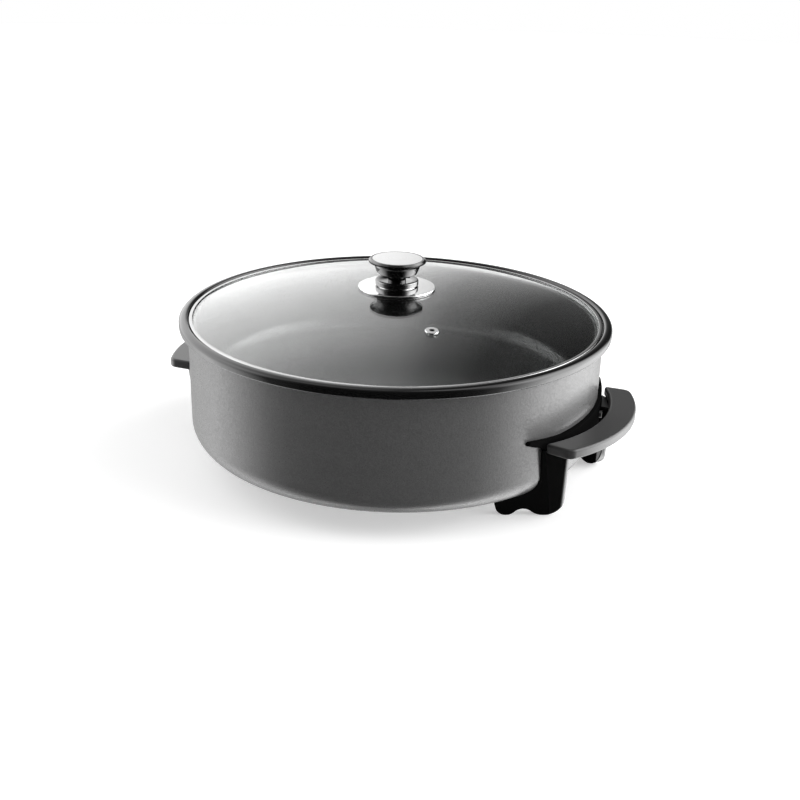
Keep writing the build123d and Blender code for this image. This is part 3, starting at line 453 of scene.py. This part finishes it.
plate_steel = finish("plate_steel", rings, Scale=2500.0, Colour=grey(0.92), Roughness=0.09, Variation=0.05,
                     bsdf_Metallic=1.0)
knob_satin = finish("knob_satin", rings, bump=0.1, depth=0.00003, Scale=2200.0, Colour=grey(0.86),
                    Roughness=0.34, Variation=0.15, bsdf_Metallic=0.6)
screw_steel = finish("screw_steel", grain, Scale=900.0, Colour=grey(0.5), Roughness=0.32, Variation=0.15,
                     bsdf_Metallic=1.0)
cover_steel = finish("cover_steel", grain, bump=0.1, depth=0.00005, Scale=500.0, Colour=grey(0.5),
                     Roughness=0.4, Variation=0.2, bsdf_Metallic=1.0)
pin_metal = finish("pin_metal", grain, Scale=900.0, Colour=(0.62, 0.58, 0.5, 1), Roughness=0.25,
                   Variation=0.1, bsdf_Metallic=1.0)
contact_metal = finish("contact_metal", grain, Scale=900.0, Colour=(0.66, 0.56, 0.36, 1), Roughness=0.28,
                       Variation=0.1, bsdf_Metallic=1.0)
heater_sheath = finish("heater_sheath", grain, Scale=600.0, Colour=(0.16, 0.13, 0.12, 1), Roughness=0.5,
                       Variation=0.15, bsdf_Metallic=1.0)
ceramic = finish("ceramic", grain, Scale=600.0, Colour=(0.8, 0.77, 0.72, 1), Roughness=0.35, Variation=0.1)
insulation = finish("insulation", grain, bump=0.8, depth=0.0008, Scale=350.0, Colour=(0.62, 0.58, 0.48, 1),
                    Roughness=0.95, Variation=0.05, Mottle=0.5)
gasket_rubber = finish("gasket_rubber", grain, bump=0.2, depth=0.00005, Scale=900.0, Colour=grey(0.02),
                       Roughness=0.6, Variation=0.1)
print("finishes so far", len(bpy.data.materials))

# %% [markdown]
# The casting wears two coats: a gloss black enamel on the rim and a satin non-stick coat in the
# well. One material does both, with a mask that reads the distance from the axis.

# %% Two coats on the casting
pan_enamel = bpy.data.materials.new("pan_enamel")
pan_enamel.use_nodes = True
tree = pan_enamel.node_tree
shader = tree.nodes["Principled BSDF"]
shader.inputs["IOR"].default_value = 1.5
radius, _ = radius_and_height(tree)
rim_start, mask_width = 0.2058, 0.0006
on_rim = range_node(tree, radius, rim_start, rim_start + mask_width)


def grain_node(**values):
    """The fine grain, set for one of the two coats."""
    node = tree.nodes.new("ShaderNodeGroup")
    node.node_tree = grain
    for key, value in values.items():
        node.inputs[key].default_value = value
    return node


coat = grain_node(Scale=1200.0, Colour=grey(0.012), Roughness=0.27, Variation=0.12)
gloss = grain_node(Scale=300.0, Colour=grey(0.006), Roughness=0.07, Variation=0.02)
colour = mix_colour(tree, on_rim, coat.outputs["Colour"], gloss.outputs["Colour"])
tree.links.new(colour, shader.inputs["Base Color"])
smoother = math_node(tree, "SUBTRACT", gloss.outputs["Roughness"], coat.outputs["Roughness"])
change = math_node(tree, "MULTIPLY", on_rim, smoother)
tree.links.new(math_node(tree, "ADD", coat.outputs["Roughness"], change), shader.inputs["Roughness"])
coat_depth, coat_strength = 0.00008, 0.1
relief = tree.nodes.new("ShaderNodeBump")
relief.inputs["Distance"].default_value = coat_depth
tree.links.new(coat.outputs["Height"], relief.inputs["Height"])
tree.links.new(range_node(tree, on_rim, 0.0, 1.0, coat_strength, 0.0), relief.inputs["Strength"])
tree.links.new(relief.outputs[0], shader.inputs["Normal"])
print("two coats on", pan_enamel.name)

# %% [markdown]
# Glass lets light through. A path tracer finds it hard to follow light that bends on its way to
# what is behind the glass, so for shadow rays, and for rays from a dull surface, the glass is
# simply see-through. For the eye it is a Principled glass with plain transmission.

# %% Glass
lid_glass_finish = finish("lid_glass", grain, Scale=40.0, Colour=(0.97, 0.985, 0.98, 1), Roughness=0.0,
                          Variation=0.0, Mottle=0.02, bsdf_Transmission_Weight=1.0, bsdf_IOR=1.5)
tree = lid_glass_finish.node_tree
paths = add_node(tree, "ShaderNodeLightPath")
clear = add_node(tree, "ShaderNodeBsdfTransparent", Color=(0.92, 0.93, 0.93, 1))
lets_light = tree.nodes.new("ShaderNodeMixShader")
dull_or_shadow = math_node(tree, "MAXIMUM", paths.outputs["Is Shadow Ray"], paths.outputs["Is Diffuse Ray"])
tree.links.new(dull_or_shadow, lets_light.inputs[0])
tree.links.new(tree.nodes["Principled BSDF"].outputs[0], lets_light.inputs[1])
tree.links.new(clear.outputs[0], lets_light.inputs[2])
tree.links.new(lets_light.outputs[0], tree.nodes["Material Output"].inputs["Surface"])
print("glass ready")

# %% [markdown]
# The bracket is one dark moulding with two skins. Its legs and arms are smooth and take a clear
# highlight, and its band round the wall is dull, as a mould texture makes it. The dull skin has no
# gloss of its own, and a coat layer brings it back away from the wall.

# %% Two skins on the bracket
bracket_plastic = finish("bracket_plastic", grain, bump=0.15, depth=0.00005,
                         Scale=1400.0, Colour=grey(0.006), Roughness=0.6, Variation=0.08,
                         bsdf_Specular_IOR_Level=0.0, bsdf_Coat_Roughness=0.3, bsdf_Coat_IOR=1.5)
tree = bracket_plastic.node_tree
radius, _ = radius_and_height(tree)
dull_to, gloss_from = 0.2108, 0.2120
off_the_wall = range_node(tree, radius, dull_to, gloss_from)
tree.links.new(off_the_wall, tree.nodes["Principled BSDF"].inputs["Coat Weight"])
print("two skins on", bracket_plastic.name)

# %% [markdown]
# ## Pieces turned on a lathe
# Thin round pieces give long narrow highlights, which show every corner of a coarse ring. So the
# lid's steel band and the roll of the rim are turned here in many fine steps: a closed outline of
# radius and height pairs, rounded where the sheet is bent, goes once round the axis.

# %% Lathe helper
def arc_points(centre_r, centre_z, radius, start, end, steps=6, tall=None):
    """Points of an arc in the section, from a start to an end angle in degrees; tall makes it an oval."""
    angles = [math.radians(start + (end - start) * step / steps) for step in range(steps + 1)]
    return [(centre_r + radius * math.cos(a), centre_z + (tall or radius) * math.sin(a)) for a in angles]


def turned_piece(name, outline, steps, material, body):
    """A closed ring turned from an outline of radius and height pairs, in metres."""
    mesh = bpy.data.meshes.new(name)
    form = bmesh.new()
    corners = [form.verts.new((r, 0, z)) for r, z in outline]
    edges = [form.edges.new((corners[k - 1], corners[k])) for k in range(len(corners))]
    bmesh.ops.spin(form, geom=corners + edges, axis=(0, 0, 1), cent=(0, 0, 0), angle=math.tau, steps=steps,
                   use_merge=True, use_duplicate=False)
    bmesh.ops.remove_doubles(form, verts=form.verts, dist=1e-7)
    bmesh.ops.recalc_face_normals(form, faces=form.faces)
    for face in form.faces:
        face.smooth = True
    form.to_mesh(mesh)
    form.free()
    mesh.materials.append(material)
    piece = bpy.data.objects.new(name, mesh)
    scene.collection.objects.link(piece)
    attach(piece, body)
    print(name, len(mesh.polygons), "faces")
    return piece


# %% Steel band round the glass
fine_steps = 480
band_r, band_low, band_high = 0.2051, 0.1383, 0.1449
under_lap_r, top_lap_r = 0.1991, 0.2019
sheet, bend = 0.0006, 0.0009
band_outline = (
    [(under_lap_r, band_low)]
    + arc_points(band_r - bend, band_low + bend, bend, -90, 0)
    + arc_points(band_r - bend, band_high - bend, bend, 0, 90)
    + arc_points(top_lap_r, band_high - sheet / 2, sheet / 2, 90, 270, 8)
    + [(band_r - sheet, band_high - sheet), (band_r - sheet, band_low + sheet)]
    + [(under_lap_r, band_low + sheet)]
)
band = turned_piece("lid_band_turned", band_outline, fine_steps, band_steel, "lid")
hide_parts("lid_band")

# %% Roll of the rim
# An inner and an outer quarter of an oval meet at the crown and wrap the casting's own rim.
rim_in, rim_out, rim_low = 0.20626, 0.21498, 0.13736
crown_r, crown_z, crown_in_z, crown_out_z = 0.2090, 0.1463, 0.1440, 0.1421
root_out_r, root_z = 0.2083, 0.1395
lip_r, lip_z, edge_under = 0.2115, 0.13886, 0.0015
rim_outline = (
    [(rim_in, root_z)]
    + arc_points(crown_r, crown_in_z, crown_r - rim_in, 180, 90, 10, tall=crown_z - crown_in_z)
    + arc_points(crown_r, crown_out_z, rim_out - crown_r, 90, 0, 16, tall=crown_z - crown_out_z)[1:]
    + arc_points(rim_out - edge_under, rim_low + edge_under, edge_under, 0, -90)
    + [(lip_r, rim_low), (lip_r, lip_z), (root_out_r, root_z)]
)
turned_piece("rim_enamel", rim_outline, fine_steps, pan_enamel, "pan_body")

# %% [markdown]
# The collar under the knob is a plain disc in the solids. A maker turns it deeper, with a recess
# that takes the foot of the knob and rounds that catch the light above and below.

# %% Collar under the knob
collar_r, collar_low, collar_high, collar_round = 0.0215, 0.1737, 0.1794, 0.0014
screw_hole_r, recess_r, recess_z = 0.0030, 0.0090, 0.1764
collar_steps = 192
collar_outline = (
    [(screw_hole_r, collar_low)]
    + arc_points(collar_r - collar_round, collar_low + collar_round, collar_round, -90, 0, 8)
    + arc_points(collar_r - collar_round, collar_high - collar_round, collar_round, 0, 90, 8)
    + [(recess_r, collar_high), (recess_r, recess_z), (screw_hole_r, recess_z)]
)
collar = turned_piece("knob_collar_turned", collar_outline, collar_steps, collar_gloss, "lid")
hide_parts("knob_collar")

# %% [markdown]
# ## Dress the solids
# Each solid whose shape is right keeps it and takes its finish.

# %% Give each solid its finish
finishes = {
    "inner_pan": pan_enamel, "outer_shell": shell_paint, "base_cover": cover_steel,
    "base_cover_screws": screw_steel, "insulation_pad": insulation, "heating_element": heater_sheath,
    "terminal_pins": pin_metal, "terminal_bushings": ceramic, "probe_sleeve": sleeve_steel,
    "inlet_guard": inlet_plastic, "inlet_screws": screw_steel, "earth_contacts": contact_metal,
    "handle_bracket_right": bracket_plastic, "handle_bracket_left": bracket_plastic,
    "grip_right": grip_plastic, "grip_left": grip_plastic,
    "grip_screws_right": screw_steel, "grip_screws_left": screw_steel,
    "bracket_screws_right": screw_steel, "bracket_screws_left": screw_steel,
    "lid_glass": lid_glass_finish, "lid_band": band_steel, "steam_vent": vent_steel,
    "knob_gasket": gasket_rubber, "knob_plate": plate_steel, "knob_collar": collar_gloss,
    "knob_body": knob_gloss, "knob_insert": knob_satin, "knob_washer": screw_steel, "knob_screw": screw_steel,
}
for node_name, material in finishes.items():
    solid = nodes[node_name]
    for index in range(len(solid.material_slots)):
        solid.material_slots[index].material = material
print("dressed", len(finishes), "of", len(nodes))
